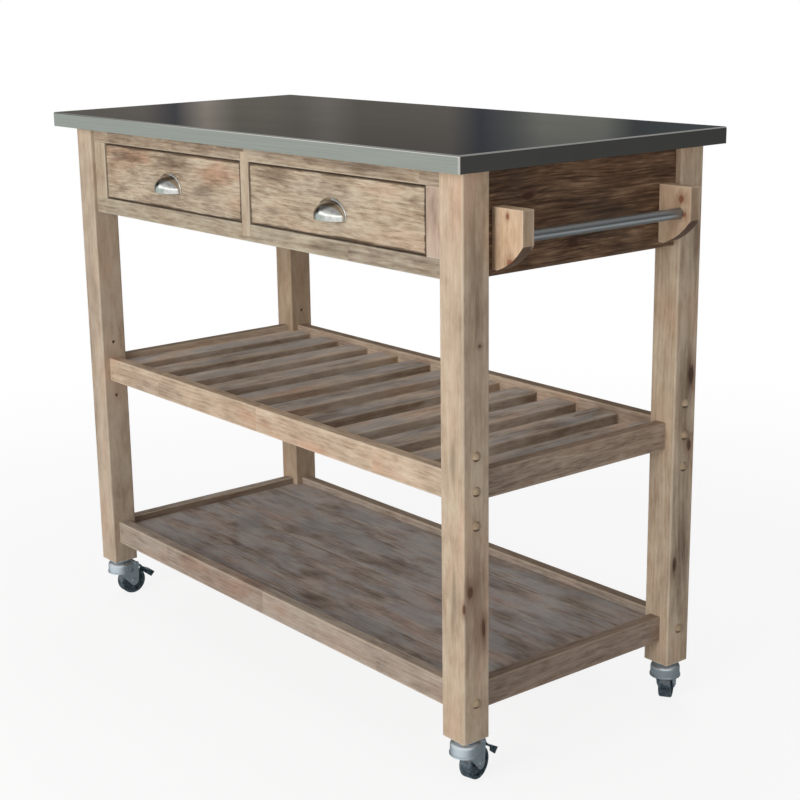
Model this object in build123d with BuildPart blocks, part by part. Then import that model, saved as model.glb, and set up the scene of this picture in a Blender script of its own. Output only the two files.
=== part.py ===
"""Kitchen island cart: a steel-clad worktop on four square legs, with two drawers under it,
a slatted middle shelf, a boarded lower shelf, a towel bar and four braked casters.

Millimetres, +Z up. The origin is on the floor, under the middle of the four legs.
-Y is the drawer side and +X the towel-bar side.
"""
import os
from math import cos, radians, sin

from build123d import *

os.makedirs("parts", exist_ok=True)

# ---------------------------------------------------------------- worktop
top_length = 1090.0
top_width = 521.0
top_height = 911.0
pan_skirt = 24.5
pan_gauge = 1.2
pan_fold_radius = 3.0

# ---------------------------------------------------------------- legs
leg_size = 48.0
left_overhang = 33.0
right_overhang = 24.0
front_overhang = 27.0
back_overhang = 22.0
leg_easing = 3.0
caster_height = 74.0

# ---------------------------------------------------------------- face frame round the drawers
face_recess = 7.5
face_thickness = 20.0
top_rail_height = 25.5
opening_height = 97.0
bottom_rail_height = 27.0
side_stile_width = 35.0
center_stile_width = 22.0
center_lap_top = 14.0
center_lap_bottom = 19.0
board_easing = 1.5

# ---------------------------------------------------------------- aprons
apron_recess = 10.5
apron_thickness = 20.0
apron_height = 146.5

# ---------------------------------------------------------------- drawers
drawer_reveal = 2.25
drawer_inset = 1.5
drawer_front_thickness = 18.0
drawer_side_setback = 2.0
drawer_side_thickness = 12.0
drawer_side_height = 90.0
drawer_back_gap = 34.5
drawer_bottom_thickness = 5.0
drawer_bottom_lift = 8.0
groove_depth = 6.0
groove_play = 0.1
panel_play = 0.5
glide_play = 0.3

# ---------------------------------------------------------------- drawer runners and kickers
runner_thickness = 16.0
runner_overlap = 16.5
guide_height = 20.0
guide_width = 20.0
guide_play = 1.25

# ---------------------------------------------------------------- cup pulls
pull_width = 71.0
pull_rim_side = 2.0
pull_rim_top = 3.5
pull_projection = 23.5
pull_lip_height = 4.0
pull_wall = 1.6
pull_rim_thickness = 1.5
pull_drop = 18.5
pull_screw_spacing = 54.0
pull_screw_rise = 3.0
pull_boss_diameter = 6.5
pull_boss_height = 7.0
pull_screw_diameter = 4.0
pull_screw_bite = 5.0

# ---------------------------------------------------------------- towel bar
bracket_projection = 59.0
bracket_thickness = 20.0
bracket_leg_gap = 14.0
bracket_top_drop = 52.5
bracket_height = 85.0
bracket_nose_height = 48.5
bracket_foot_depth = 9.0
bracket_belly = 5.0
rod_diameter = 16.0
rod_bore_play = 0.1
rod_reach = 38.0
rod_drop = 39.0
rod_socket_depth = 10.0

# ---------------------------------------------------------------- shelves
shelf_rail_thickness = 20.0
long_rail_recess = 13.5
end_rail_recess = 16.5
mid_rail_top = 468.0
mid_rail_height = 42.0
slat_count = 11
slat_width = 50.0
slat_thickness = 18.0
slat_drop = 10.0
low_rail_top = 152.5
low_rail_height = 41.0
plank_width = 139.0
plank_thickness = 12.0
plank_drop = 12.5
plank_joint = 0.4
plank_easing = 0.8
shelf_play = 0.5
cleat_width = 15.0
cleat_height = 14.0
center_batten_width = 40.0

# ---------------------------------------------------------------- fasteners
bolt_diameter = 6.0
bolt_head_diameter = 12.0
bolt_head_height = 4.0
bolt_grip = 40.0
height_step = 50.0
plug_diameter = 15.0
plug_dome = 5.0
plug_tenon_diameter = 12.6
plug_tenon_length = 5.0
counterbore_depth = 12.0
screw_diameter = 4.5
screw_head_diameter = 8.5
screw_head_height = 3.0
screw_bite = 17.0
worktop_screw_inset = 57.0
bracket_screw_spacing = 40.0
hole_play = 0.1

# ---------------------------------------------------------------- casters
wheel_diameter = 50.0
wheel_width = 20.0
wheel_trail = 21.0
tread_round = 2.5
rim_diameter = 38.0
hub_diameter = 14.0
hub_overhang = 1.2
web_recess = 3.0
axle_diameter = 6.0
fork_gap = 23.0
fork_gauge = 2.0
fork_play = 0.3
cup_diameter = 46.0
cup_height = 21.0
cup_shoulder = 7.0
cup_rim = 1.2
cup_rim_height = 2.4
cheek_eye_radius = 8.5
race_diameter = 38.0
race_thickness = 6.0
race_easing = 2.0
stem_diameter = 11.0
stem_length = 38.0
stem_tip = 3.0
stem_rivet_diameter = 16.0
stem_rivet_height = 2.5
socket_wall = 1.0
socket_flange_diameter = 22.0
socket_flange_thickness = 1.5
rivet_head_diameter = 10.0
rivet_head_height = 1.5
rivet_play = 0.1
running_play = 0.05

# ---------------------------------------------------------------- brake pedals
brake_pivot_reach = 27.0
brake_pivot_height = 58.0
brake_pin_diameter = 3.5
brake_pin_head = 6.5
brake_eye_radius = 4.0
brake_pivot_boss = 5.0
brake_knee_reach = 38.0
brake_knee_height = 51.5
brake_elbow_reach = 46.0
brake_elbow_height = 42.0
brake_tip_reach = 64.5
brake_tip_height = 33.0
brake_toe_setback = 7.0
brake_flange_depth = 7.5
brake_gauge = 2.0
brake_width = 18.0
brake_pan_width = 25.0

# heading of each caster's wheel from its stem, in degrees from +X towards +Y
caster_heading = {"front_left": 88.0, "front_right": 104.0, "back_left": 30.0, "back_right": 124.0}

# ---------------------------------------------------------------- shared places
corners = {
    "front_left": (-1, -1),
    "front_right": (1, -1),
    "back_left": (-1, 1),
    "back_right": (1, 1),
}
leg_top = top_height - pan_skirt
leg_span_x = top_length - left_overhang - right_overhang
leg_span_y = top_width - front_overhang - back_overhang
top_center = ((right_overhang - left_overhang) / 2, (back_overhang - front_overhang) / 2)
leg_x = (leg_span_x - leg_size) / 2
leg_y = (leg_span_y - leg_size) / 2
leg_inner_x = leg_span_x / 2 - leg_size
leg_inner_y = leg_span_y / 2 - leg_size

face_front = face_recess - leg_span_y / 2
face_back = face_front + face_thickness
opening_top = leg_top - top_rail_height
opening_bottom = opening_top - opening_height
face_bottom = opening_bottom - bottom_rail_height
opening_near = center_stile_width / 2
opening_far = leg_inner_x - side_stile_width

apron_bottom = leg_top - apron_height
apron_outer_x = leg_span_x / 2 - apron_recess
apron_inner_x = apron_outer_x - apron_thickness
apron_outer_y = leg_span_y / 2 - apron_recess
apron_inner_y = apron_outer_y - apron_thickness

long_rail_outer = leg_span_y / 2 - long_rail_recess
long_rail_inner = long_rail_outer - shelf_rail_thickness
long_rail_center = (long_rail_outer + long_rail_inner) / 2
end_rail_outer = leg_span_x / 2 - end_rail_recess
end_rail_inner = end_rail_outer - shelf_rail_thickness
mid_bolt_height = mid_rail_top - mid_rail_height / 2
low_bolt_height = low_rail_top - low_rail_height / 2
plug_heights = [
    low_bolt_height,
    mid_bolt_height - height_step,
    mid_bolt_height,
    mid_bolt_height + height_step,
]

wheel_radius = wheel_diameter / 2
race_bottom = caster_height - race_thickness
cup_top = race_bottom - fork_play
cup_underside = cup_top - fork_gauge
cup_bottom = cup_top - cup_height
fork_half_gap = fork_gap / 2
fork_half_width = fork_half_gap + fork_gauge


def save(part, name):
    """Label a finished piece and write it as its own STEP file."""
    part.label = name
    export_step(part, f"parts/{name}.step")


def board(x_span, y_span, z_span, grain, easing):
    """A board between three pairs of faces, with the edges along its grain rounded."""
    with BuildPart() as piece:
        with BuildSketch(Plane.XY.offset(z_span[0])):
            with Locations(((x_span[0] + x_span[1]) / 2, (y_span[0] + y_span[1]) / 2)):
                Rectangle(x_span[1] - x_span[0], y_span[1] - y_span[0])
        extrude(amount=z_span[1] - z_span[0])
        fillet(piece.edges().filter_by(grain), easing)
    return piece.part


# ================================================================ worktop
def worktop_block(inset):
    """The worktop's block from the tops of the legs up, inset all round and above, with rounded edges."""
    with BuildPart() as block:
        with BuildSketch(Plane.XY.offset(leg_top)):
            with Locations(top_center):
                Rectangle(top_length - 2 * inset, top_width - 2 * inset)
        extrude(amount=pan_skirt - inset)
        top_edges = block.faces().sort_by(Axis.Z)[-1].edges()
        fillet(block.edges().filter_by(Axis.Z) + top_edges, pan_fold_radius - inset)
    return block.part


with BuildPart() as worktop_pan:
    add(worktop_block(0))
    add(worktop_block(pan_gauge), mode=Mode.SUBTRACT)
save(worktop_pan.part, "worktop_pan")

# Battens along Y carry the drawers below and stop them tipping above. One is behind each stile.
side_batten = (opening_far - runner_overlap, leg_inner_x)
center_batten = (-opening_near - runner_overlap, opening_near + runner_overlap)
batten_spans = [(-side_batten[1], -side_batten[0]), center_batten, side_batten]
batten_centers = [(span[0] + span[1]) / 2 for span in batten_spans]
batten_y = (face_back, apron_inner_y)
batten_mid_y = (face_back + apron_inner_y) / 2
worktop_screw_rows = (batten_y[0] + worktop_screw_inset, batten_y[1] - worktop_screw_inset)
worktop_screw_spots = [(x, y) for x in batten_centers for y in worktop_screw_rows]
screw_bore = screw_diameter + 2 * hole_play
screw_head_bore = screw_head_diameter + 2 * hole_play

with BuildPart() as worktop_core:
    add(worktop_block(pan_gauge))
    with BuildSketch(Plane.XY.offset(leg_top)):
        with Locations(*worktop_screw_spots):
            Circle(screw_bore / 2)
    extrude(amount=screw_bite + hole_play, mode=Mode.SUBTRACT)
save(worktop_core.part, "worktop_core")


# ================================================================ legs
def make_leg(side_x, side_y):
    """A square leg, bored for its caster and for the shelf bolts and the plugs over them."""
    outer_face = Plane(
        origin=(side_x * leg_span_x / 2, side_y * long_rail_center, 0),
        x_dir=(0, side_x, 0),
        z_dir=(side_x, 0, 0),
    )
    socket_bore = stem_diameter / 2 + running_play + socket_wall + hole_play
    with BuildPart() as leg:
        with BuildSketch(Plane.XY.offset(caster_height)):
            with Locations((side_x * leg_x, side_y * leg_y)):
                RectangleRounded(leg_size, leg_size, leg_easing)
        extrude(amount=leg_top - caster_height)
        with BuildSketch(outer_face):
            with Locations(*[(0, height) for height in plug_heights]):
                Circle(bolt_diameter / 2 + hole_play)
        extrude(amount=-leg_size, mode=Mode.SUBTRACT)
        with BuildSketch(outer_face):
            with Locations(*[(0, height) for height in plug_heights]):
                Circle(plug_tenon_diameter / 2 + hole_play)
        extrude(amount=-counterbore_depth, mode=Mode.SUBTRACT)
        with BuildSketch(Plane.XY.offset(caster_height)):
            with Locations((side_x * leg_x, side_y * leg_y)):
                Circle(socket_bore)
        extrude(amount=stem_length + stem_tip, mode=Mode.SUBTRACT)
        with BuildSketch(Plane.XY.offset(caster_height)):
            with Locations((side_x * leg_x, side_y * leg_y)):
                Circle(socket_flange_diameter / 2 + hole_play)
        extrude(amount=socket_flange_thickness, mode=Mode.SUBTRACT)
    return leg.part


for corner, (side_x, side_y) in corners.items():
    save(make_leg(side_x, side_y), f"leg_{corner}")


# ================================================================ face frame
def make_face_rail(z_low, z_high, lap_low, lap_high):
    """A rail between the front legs, half cut away at its middle where the centre stile laps it."""
    with BuildPart() as rail:
        with BuildSketch(Plane.XY.offset(z_low)):
            with Locations((0, (face_front + face_back) / 2)):
                Rectangle(2 * leg_inner_x, face_thickness)
        extrude(amount=z_high - z_low)
        fillet(rail.edges().filter_by(Axis.X), board_easing)
        with BuildSketch(Plane.XY.offset(lap_low)):
            with Locations((0, face_front + face_thickness / 4)):
                Rectangle(center_stile_width, face_thickness / 2)
        extrude(amount=lap_high - lap_low, mode=Mode.SUBTRACT)
    return rail.part


stile_top = opening_top + center_lap_top
stile_bottom = opening_bottom - center_lap_bottom
save(make_face_rail(opening_top, leg_top, opening_top, stile_top), "face_rail_top")
save(make_face_rail(face_bottom, opening_bottom, stile_bottom, opening_bottom), "face_rail_bottom")

stile_y = (face_front, face_back)
stile_z = (opening_bottom, opening_top)
for name, span in {
    "face_stile_left": (-leg_inner_x, -opening_far),
    "face_stile_right": (opening_far, leg_inner_x),
}.items():
    save(board(span, stile_y, stile_z, Axis.Z, board_easing), name)

with BuildPart() as face_stile_center:
    with BuildSketch(Plane.XY.offset(stile_bottom)):
        with Locations((0, face_front + face_thickness / 4)):
            Rectangle(center_stile_width, face_thickness / 2)
    extrude(amount=stile_top - stile_bottom)
    with BuildSketch(Plane.XY.offset(opening_bottom)):
        with Locations((0, (face_front + face_back) / 2)):
            Rectangle(center_stile_width, face_thickness)
    extrude(amount=opening_height)
    front_edges = face_stile_center.edges().filter_by(Axis.Z).group_by(Axis.Y)[0]
    fillet(front_edges, board_easing)
save(face_stile_center.part, "face_stile_center")


# ================================================================ aprons and towel-bar seats
bracket_y = leg_inner_y - bracket_leg_gap - bracket_thickness / 2
bracket_top = leg_top - bracket_top_drop
bracket_bottom = bracket_top - bracket_height
bracket_screw_heights = [
    bracket_top - bracket_height / 2 - bracket_screw_spacing / 2,
    bracket_top - bracket_height / 2 + bracket_screw_spacing / 2,
]
bracket_screw_spots = [
    (side * bracket_y, height) for side in (-1, 1) for height in bracket_screw_heights
]
inside_right_apron = Plane(origin=(apron_inner_x, 0, 0), x_dir=(0, 1, 0), z_dir=(1, 0, 0))

apron_z = (apron_bottom, leg_top)
leg_gap_y = (-leg_inner_y, leg_inner_y)
left_span = (-apron_outer_x, -apron_inner_x)
save(board(left_span, leg_gap_y, apron_z, Axis.Y, board_easing), "apron_left")

back_span = (apron_inner_y, apron_outer_y)
leg_gap_x = (-leg_inner_x, leg_inner_x)
save(board(leg_gap_x, back_span, apron_z, Axis.X, board_easing), "apron_back")

with BuildPart() as apron_right:
    with BuildSketch(inside_right_apron):
        with Locations((0, (apron_bottom + leg_top) / 2)):
            Rectangle(2 * leg_inner_y, apron_height)
    extrude(amount=apron_thickness)
    fillet(apron_right.edges().filter_by(Axis.Y), board_easing)
    with BuildSketch(inside_right_apron):
        with Locations(*bracket_screw_spots):
            Circle(screw_bore / 2)
    extrude(amount=apron_thickness, mode=Mode.SUBTRACT)
save(apron_right.part, "apron_right")


# ================================================================ towel bar
rod_x = apron_outer_x + rod_reach
rod_height = bracket_top - rod_drop
bracket_tip = apron_outer_x + bracket_projection
nose_bottom = bracket_top - bracket_nose_height


def make_bracket(side_y):
    """A wooden bracket with a rounded lower corner, a socket for the rod and two screw holes."""
    outer_y = side_y * (bracket_y + bracket_thickness / 2)
    inner_y = side_y * (bracket_y - bracket_thickness / 2)
    inner_face = Plane(origin=(0, inner_y, 0), x_dir=(side_y, 0, 0), z_dir=(0, -side_y, 0))
    outer_face = Plane(origin=(0, outer_y, 0), x_dir=(1, 0, 0), z_dir=(0, -1, 0))
    nose = (bracket_tip, nose_bottom)
    foot = (apron_outer_x + bracket_foot_depth, bracket_bottom)
    with BuildPart() as bracket:
        with BuildSketch(outer_face):
            with BuildLine():
                Polyline(foot, (apron_outer_x, bracket_bottom), (apron_outer_x, bracket_top))
                Polyline((apron_outer_x, bracket_top), (bracket_tip, bracket_top), nose)
                SagittaArc(nose, foot, bracket_belly)
            make_face()
        extrude(amount=side_y * bracket_thickness)
        with BuildSketch(inner_face):
            with Locations((side_y * rod_x, rod_height)):
                Circle(rod_diameter / 2 + rod_bore_play)
        extrude(amount=-rod_socket_depth, mode=Mode.SUBTRACT)
        with BuildSketch(Plane(origin=(apron_outer_x, 0, 0), x_dir=(0, 1, 0), z_dir=(1, 0, 0))):
            with Locations(*[(side_y * bracket_y, height) for height in bracket_screw_heights]):
                Circle(screw_bore / 2)
        extrude(amount=screw_bite + hole_play, mode=Mode.SUBTRACT)
    return bracket.part


save(make_bracket(-1), "towel_bracket_front")
save(make_bracket(1), "towel_bracket_back")

with BuildPart() as towel_rod:
    rod_half = bracket_y - bracket_thickness / 2 + rod_socket_depth - rod_bore_play
    with BuildSketch(Plane.XZ):
        with Locations((rod_x, rod_height)):
            Circle(rod_diameter / 2)
    extrude(amount=rod_half, both=True)
save(towel_rod.part, "towel_rod")

with BuildPart() as bracket_screws:
    with BuildSketch(inside_right_apron):
        with Locations(*bracket_screw_spots):
            Circle(screw_diameter / 2)
    extrude(amount=apron_thickness + screw_bite)
    with BuildSketch(inside_right_apron):
        with Locations(*bracket_screw_spots):
            Circle(screw_head_diameter / 2)
    extrude(amount=-screw_head_height)
save(bracket_screws.part, "bracket_screws")


# ================================================================ drawer runners and kickers
drawer_center = (opening_near + opening_far) / 2
drawer_front_width = opening_far - opening_near - 2 * drawer_reveal
drawer_box_width = drawer_front_width - 2 * drawer_side_setback
guide_near = drawer_center - drawer_box_width / 2 - guide_play
guide_far = drawer_center + drawer_box_width / 2 + guide_play
guide_spans = [(-guide_far - guide_width, -guide_far), (-guide_near, guide_near)]
guide_spans.append((guide_far, guide_far + guide_width))

with BuildPart() as drawer_runners:
    with BuildSketch(Plane.XY.offset(opening_bottom - runner_thickness)):
        for x_low, x_high in batten_spans:
            with Locations(((x_low + x_high) / 2, batten_mid_y)):
                Rectangle(x_high - x_low, batten_y[1] - batten_y[0])
    extrude(amount=runner_thickness)
    with BuildSketch(Plane.XY.offset(opening_bottom)):
        for x_low, x_high in guide_spans:
            with Locations(((x_low + x_high) / 2, batten_mid_y)):
                Rectangle(x_high - x_low, batten_y[1] - batten_y[0])
    extrude(amount=guide_height)
save(drawer_runners.part, "drawer_runners")

with BuildPart() as drawer_kickers:
    with BuildSketch(Plane.XY.offset(opening_top)):
        for x_low, x_high in batten_spans:
            with Locations(((x_low + x_high) / 2, batten_mid_y)):
                Rectangle(x_high - x_low, batten_y[1] - batten_y[0])
    extrude(amount=top_rail_height)
    with BuildSketch(Plane.XY.offset(opening_top)):
        with Locations(*worktop_screw_spots):
            Circle(screw_bore / 2)
    extrude(amount=top_rail_height, mode=Mode.SUBTRACT)
    with BuildSketch(Plane.XY.offset(opening_top)):
        with Locations(*worktop_screw_spots):
            Circle(screw_head_bore / 2)
    extrude(amount=screw_head_height, mode=Mode.SUBTRACT)
save(drawer_kickers.part, "drawer_kickers")

with BuildPart() as worktop_screws:
    with BuildSketch(Plane.XY.offset(opening_top)):
        with Locations(*worktop_screw_spots):
            Circle(screw_head_diameter / 2)
    extrude(amount=screw_head_height)
    with BuildSketch(Plane.XY.offset(opening_top)):
        with Locations(*worktop_screw_spots):
            Circle(screw_diameter / 2)
    extrude(amount=top_rail_height + screw_bite)
save(worktop_screws.part, "worktop_screws")


# ================================================================ drawers
front_y = face_front + drawer_inset
front_back_y = front_y + drawer_front_thickness
drawer_front_z = (opening_bottom + drawer_reveal, opening_top - drawer_reveal)
side_z = (opening_bottom + glide_play, opening_bottom + glide_play + drawer_side_height)
panel_bottom = side_z[0] + drawer_bottom_lift
panel_top = panel_bottom + drawer_bottom_thickness
panel_reach = groove_depth - panel_play
box_back_y = apron_inner_y - drawer_back_gap
drawer_depth = box_back_y - front_back_y
pull_bottom = (drawer_front_z[0] + drawer_front_z[1]) / 2 - pull_drop
pull_axis = pull_bottom + pull_lip_height
pull_screw_z = pull_axis + pull_screw_rise
pull_screw_bore = pull_screw_diameter / 2 + hole_play


def make_drawer_front(center_x):
    """The inset front, grooved inside for the bottom panel and drilled for the pull."""
    with BuildPart() as front:
        with BuildSketch(Plane.XY.offset(drawer_front_z[0])):
            with Locations((center_x, (front_y + front_back_y) / 2)):
                Rectangle(drawer_front_width, drawer_front_thickness)
        extrude(amount=drawer_front_z[1] - drawer_front_z[0])
        fillet(front.faces().sort_by(Axis.Y)[0].edges(), board_easing)
        with BuildSketch(Plane.XY.offset(panel_bottom - groove_play)):
            with Locations((center_x, front_back_y - groove_depth / 2)):
                Rectangle(drawer_box_width - 2 * drawer_side_thickness + 2 * groove_depth, groove_depth)
        extrude(amount=drawer_bottom_thickness + 2 * groove_play, mode=Mode.SUBTRACT)
        with BuildSketch(Plane.XZ.offset(-front_y)):
            with Locations((center_x, pull_screw_z)):
                with GridLocations(pull_screw_spacing, 1, 2, 1):
                    Circle(pull_screw_bore)
        extrude(amount=-drawer_front_thickness, mode=Mode.SUBTRACT)
    return front.part


def make_drawer_sides(center_x):
    """Two grooved side boards, as a pair."""
    side_offset = (drawer_box_width - drawer_side_thickness) / 2
    groove_offset = drawer_box_width / 2 - drawer_side_thickness + groove_depth / 2
    middle_y = (front_back_y + box_back_y) / 2
    with BuildPart() as sides:
        with BuildSketch(Plane.XY.offset(side_z[0])):
            with Locations((center_x, middle_y)):
                with GridLocations(2 * side_offset, 1, 2, 1):
                    Rectangle(drawer_side_thickness, drawer_depth)
        extrude(amount=drawer_side_height)
        fillet(sides.edges().filter_by(Axis.Y).group_by(Axis.Z)[-1], board_easing)
        with BuildSketch(Plane.XY.offset(panel_bottom - groove_play)):
            with Locations((center_x, middle_y)):
                with GridLocations(2 * groove_offset, 1, 2, 1):
                    Rectangle(groove_depth, drawer_depth)
        extrude(amount=drawer_bottom_thickness + 2 * groove_play, mode=Mode.SUBTRACT)
    return sides.part


def make_drawer_back(center_x):
    """The back board between the sides, standing on the bottom panel."""
    half_width = drawer_box_width / 2 - drawer_side_thickness
    x_span = (center_x - half_width, center_x + half_width)
    y_span = (box_back_y - drawer_side_thickness, box_back_y)
    return board(x_span, y_span, (panel_top, side_z[1]), Axis.X, board_easing)


def make_drawer_bottom(center_x):
    """The bottom panel, held in the grooves of the front and the sides."""
    width = drawer_box_width - 2 * drawer_side_thickness + 2 * panel_reach
    y_low = front_back_y - panel_reach
    with BuildPart() as bottom:
        with BuildSketch(Plane.XY.offset(panel_bottom)):
            with Locations((center_x, (y_low + box_back_y) / 2)):
                Rectangle(width, box_back_y - y_low)
        extrude(amount=drawer_bottom_thickness)
    return bottom.part


def half_ellipse(half_width, height):
    """Add the upper half of an ellipse, flat side on the X axis, to the sketch in hand."""
    Ellipse(half_width, height)
    Rectangle(2 * half_width, height, align=(Align.CENTER, Align.MAX), mode=Mode.SUBTRACT)


def cup_form(center_x, half_width, projection):
    """A solid cup: a quarter of an ellipsoid over a straight lip, against the drawer front."""
    quarter = Sphere(1, 0, 90, 180, rotation=(0, 0, 180), align=None, mode=Mode.PRIVATE)
    dome = scale(quarter, by=(half_width, projection, projection), mode=Mode.PRIVATE)
    with BuildPart() as form:
        with Locations((center_x, front_y, pull_axis)):
            add(dome)
        with BuildSketch(Plane((center_x, front_y, pull_axis), x_dir=(-1, 0, 0), z_dir=(0, 0, 1))):
            half_ellipse(half_width, projection)
        extrude(amount=-pull_lip_height)
    return form.part


def make_pull(center_x):
    """A half-dome cup pull, open below, with a flat rim round its arch and two screw bosses."""
    dome_half = pull_width / 2 - pull_rim_side
    outer_form = cup_form(center_x, dome_half, pull_projection)
    hollow_form = cup_form(center_x, dome_half - pull_wall, pull_projection - pull_wall)
    seat = Plane(origin=(center_x, front_y, pull_axis), x_dir=(-1, 0, 0), z_dir=(0, 1, 0))
    with BuildPart() as pull:
        add(outer_form)
        with BuildSketch(seat):
            half_ellipse(pull_width / 2, pull_projection + pull_rim_top)
            with Locations((0, -pull_lip_height / 2)):
                Rectangle(pull_width, pull_lip_height)
        extrude(amount=-pull_rim_thickness)
        add(hollow_form, mode=Mode.SUBTRACT)
        with BuildSketch(seat):
            with Locations((0, pull_screw_rise)):
                with GridLocations(pull_screw_spacing, 1, 2, 1):
                    Circle(pull_boss_diameter / 2)
        extrude(amount=-pull_boss_height)
        with BuildSketch(seat):
            with Locations((0, pull_screw_rise)):
                with GridLocations(pull_screw_spacing, 1, 2, 1):
                    Circle(pull_screw_bore)
        extrude(amount=-pull_screw_bite - hole_play, mode=Mode.SUBTRACT)
    return pull.part


def make_pull_screws(center_x):
    """Two machine screws through the drawer front into the pull's bosses."""
    inside = Plane(origin=(center_x, front_back_y, pull_screw_z), x_dir=(1, 0, 0), z_dir=(0, -1, 0))
    with BuildPart() as screws:
        with BuildSketch(inside):
            with GridLocations(pull_screw_spacing, 1, 2, 1):
                Circle(pull_screw_diameter / 2)
        extrude(amount=drawer_front_thickness + pull_screw_bite)
        with BuildSketch(inside):
            with GridLocations(pull_screw_spacing, 1, 2, 1):
                Circle(screw_head_diameter / 2)
        extrude(amount=-screw_head_height)
    return screws.part


for side_name, side_x in {"left": -1, "right": 1}.items():
    center_x = side_x * drawer_center
    save(make_drawer_front(center_x), f"drawer_{side_name}_front")
    save(make_drawer_sides(center_x), f"drawer_{side_name}_sides")
    save(make_drawer_back(center_x), f"drawer_{side_name}_back")
    save(make_drawer_bottom(center_x), f"drawer_{side_name}_bottom")
    save(make_pull(center_x), f"drawer_{side_name}_pull")
    save(make_pull_screws(center_x), f"drawer_{side_name}_pull_screws")


# ================================================================ shelf frames
def make_long_rail(side_y, z_top, height):
    """A shelf rail along X between two legs, bored at both ends for its bolts."""
    y_center = side_y * long_rail_center
    end_center = (leg_inner_x, y_center, z_top - height / 2)
    end_face = Plane(origin=end_center, x_dir=(0, 1, 0), z_dir=(1, 0, 0))
    with BuildPart() as rail:
        with BuildSketch(end_face):
            Rectangle(shelf_rail_thickness, height)
        extrude(amount=-2 * leg_inner_x)
        fillet(rail.edges().filter_by(Axis.X), board_easing)
        with BuildSketch(end_face, end_face.offset(-2 * leg_inner_x)):
            Circle(bolt_diameter / 2 + hole_play)
        extrude(amount=bolt_grip + hole_play, both=True, mode=Mode.SUBTRACT)
    return rail.part


for shelf, z_top, height in (
    ("mid", mid_rail_top, mid_rail_height),
    ("low", low_rail_top, low_rail_height),
):
    save(make_long_rail(-1, z_top, height), f"{shelf}_rail_front")
    save(make_long_rail(1, z_top, height), f"{shelf}_rail_back")
    rail_z = (z_top - height, z_top)
    for side_name, x_span in {
        "left": (-end_rail_outer, -end_rail_inner),
        "right": (end_rail_inner, end_rail_outer),
    }.items():
        save(board(x_span, leg_gap_y, rail_z, Axis.Y, board_easing), f"{shelf}_rail_{side_name}")

# Slats and planks fill the rail frame. The ones in the corners are notched round the legs.
shelf_length = 2 * end_rail_inner - 2 * shelf_play
shelf_width = 2 * long_rail_inner - 2 * shelf_play
leg_notch = leg_size + 2 * shelf_play
slat_bottom = mid_rail_top - slat_drop - slat_thickness
slat_pitch = (shelf_length - slat_width) / (slat_count - 1)
plank_bottom = low_rail_top - plank_drop - plank_thickness

with BuildPart() as mid_shelf_slats:
    with BuildSketch(Plane.XY.offset(slat_bottom)):
        with GridLocations(slat_pitch, 1, slat_count, 1):
            Rectangle(slat_width, shelf_width)
    extrude(amount=slat_thickness)
    slat_edges = mid_shelf_slats.edges().filter_by(Axis.Y)
    fillet(slat_edges.group_by(Axis.Z)[-1], board_easing)
    with BuildSketch(Plane.XY.offset(slat_bottom)):
        with GridLocations(2 * leg_x, 2 * leg_y, 2, 2):
            Rectangle(leg_notch, leg_notch)
    extrude(amount=slat_thickness, mode=Mode.SUBTRACT)
save(mid_shelf_slats.part, "mid_shelf_slats")

# Two wide planks meet on the centre line and two narrow ones fill up to the rails.
edge_plank_width = shelf_width / 2 - plank_width
plank_rows = [
    (side * (plank_width + edge_plank_width / 2), edge_plank_width) for side in (-1, 1)
] + [(side * plank_width / 2, plank_width) for side in (-1, 1)]

with BuildPart() as low_shelf_planks:
    with BuildSketch(Plane.XY.offset(plank_bottom)):
        for y_center, width in plank_rows:
            with Locations((0, y_center)):
                Rectangle(shelf_length, width - plank_joint)
    extrude(amount=plank_thickness)
    plank_edges = low_shelf_planks.edges().filter_by(Axis.X)
    fillet(plank_edges.group_by(Axis.Z)[-1], plank_easing)
    with BuildSketch(Plane.XY.offset(plank_bottom)):
        with GridLocations(2 * leg_x, 2 * leg_y, 2, 2):
            Rectangle(leg_notch, leg_notch)
    extrude(amount=plank_thickness, mode=Mode.SUBTRACT)
save(low_shelf_planks.part, "low_shelf_planks")

# Cleats under both shelves: along the long rails in the middle, across the planks below.
cleat_row = long_rail_inner - cleat_width / 2
cleat_column = end_rail_inner - cleat_width / 2
with BuildPart() as shelf_cleats:
    with BuildSketch(Plane.XY.offset(slat_bottom - cleat_height)):
        with GridLocations(1, 2 * cleat_row, 1, 2):
            Rectangle(2 * leg_inner_x, cleat_width)
    extrude(amount=cleat_height)
    with BuildSketch(Plane.XY.offset(plank_bottom - cleat_height)):
        with GridLocations(2 * cleat_column, 1, 2, 1):
            Rectangle(cleat_width, 2 * leg_inner_y)
        Rectangle(center_batten_width, 2 * long_rail_inner)
    extrude(amount=cleat_height)
save(shelf_cleats.part, "shelf_cleats")


# ================================================================ bolts and button plugs
def outer_leg_face(side_x, side_y, height):
    """The plane on a leg's outer face, square to a bolt, at the bolt's height."""
    origin = (side_x * leg_span_x / 2, side_y * long_rail_center, height)
    return Plane(origin=origin, x_dir=(0, side_x, 0), z_dir=(side_x, 0, 0))


with BuildPart() as leg_plugs:
    for side_x, side_y in corners.values():
        for height in plug_heights:
            face = outer_leg_face(side_x, side_y, height)
            rim = plug_diameter / 2
            tenon = plug_tenon_diameter / 2
            with BuildSketch(Plane(origin=face.origin, x_dir=face.x_dir, z_dir=face.y_dir)):
                with BuildLine():
                    Polyline((0, -plug_dome), (0, plug_tenon_length), (tenon, plug_tenon_length))
                    Polyline((tenon, plug_tenon_length), (tenon, 0), (rim, 0))
                    TangentArc((0, -plug_dome), (rim, 0), tangent=(1, 0))
                make_face()
            revolve(axis=Axis(face.origin, face.z_dir))
save(leg_plugs.part, "leg_plugs")

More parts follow.
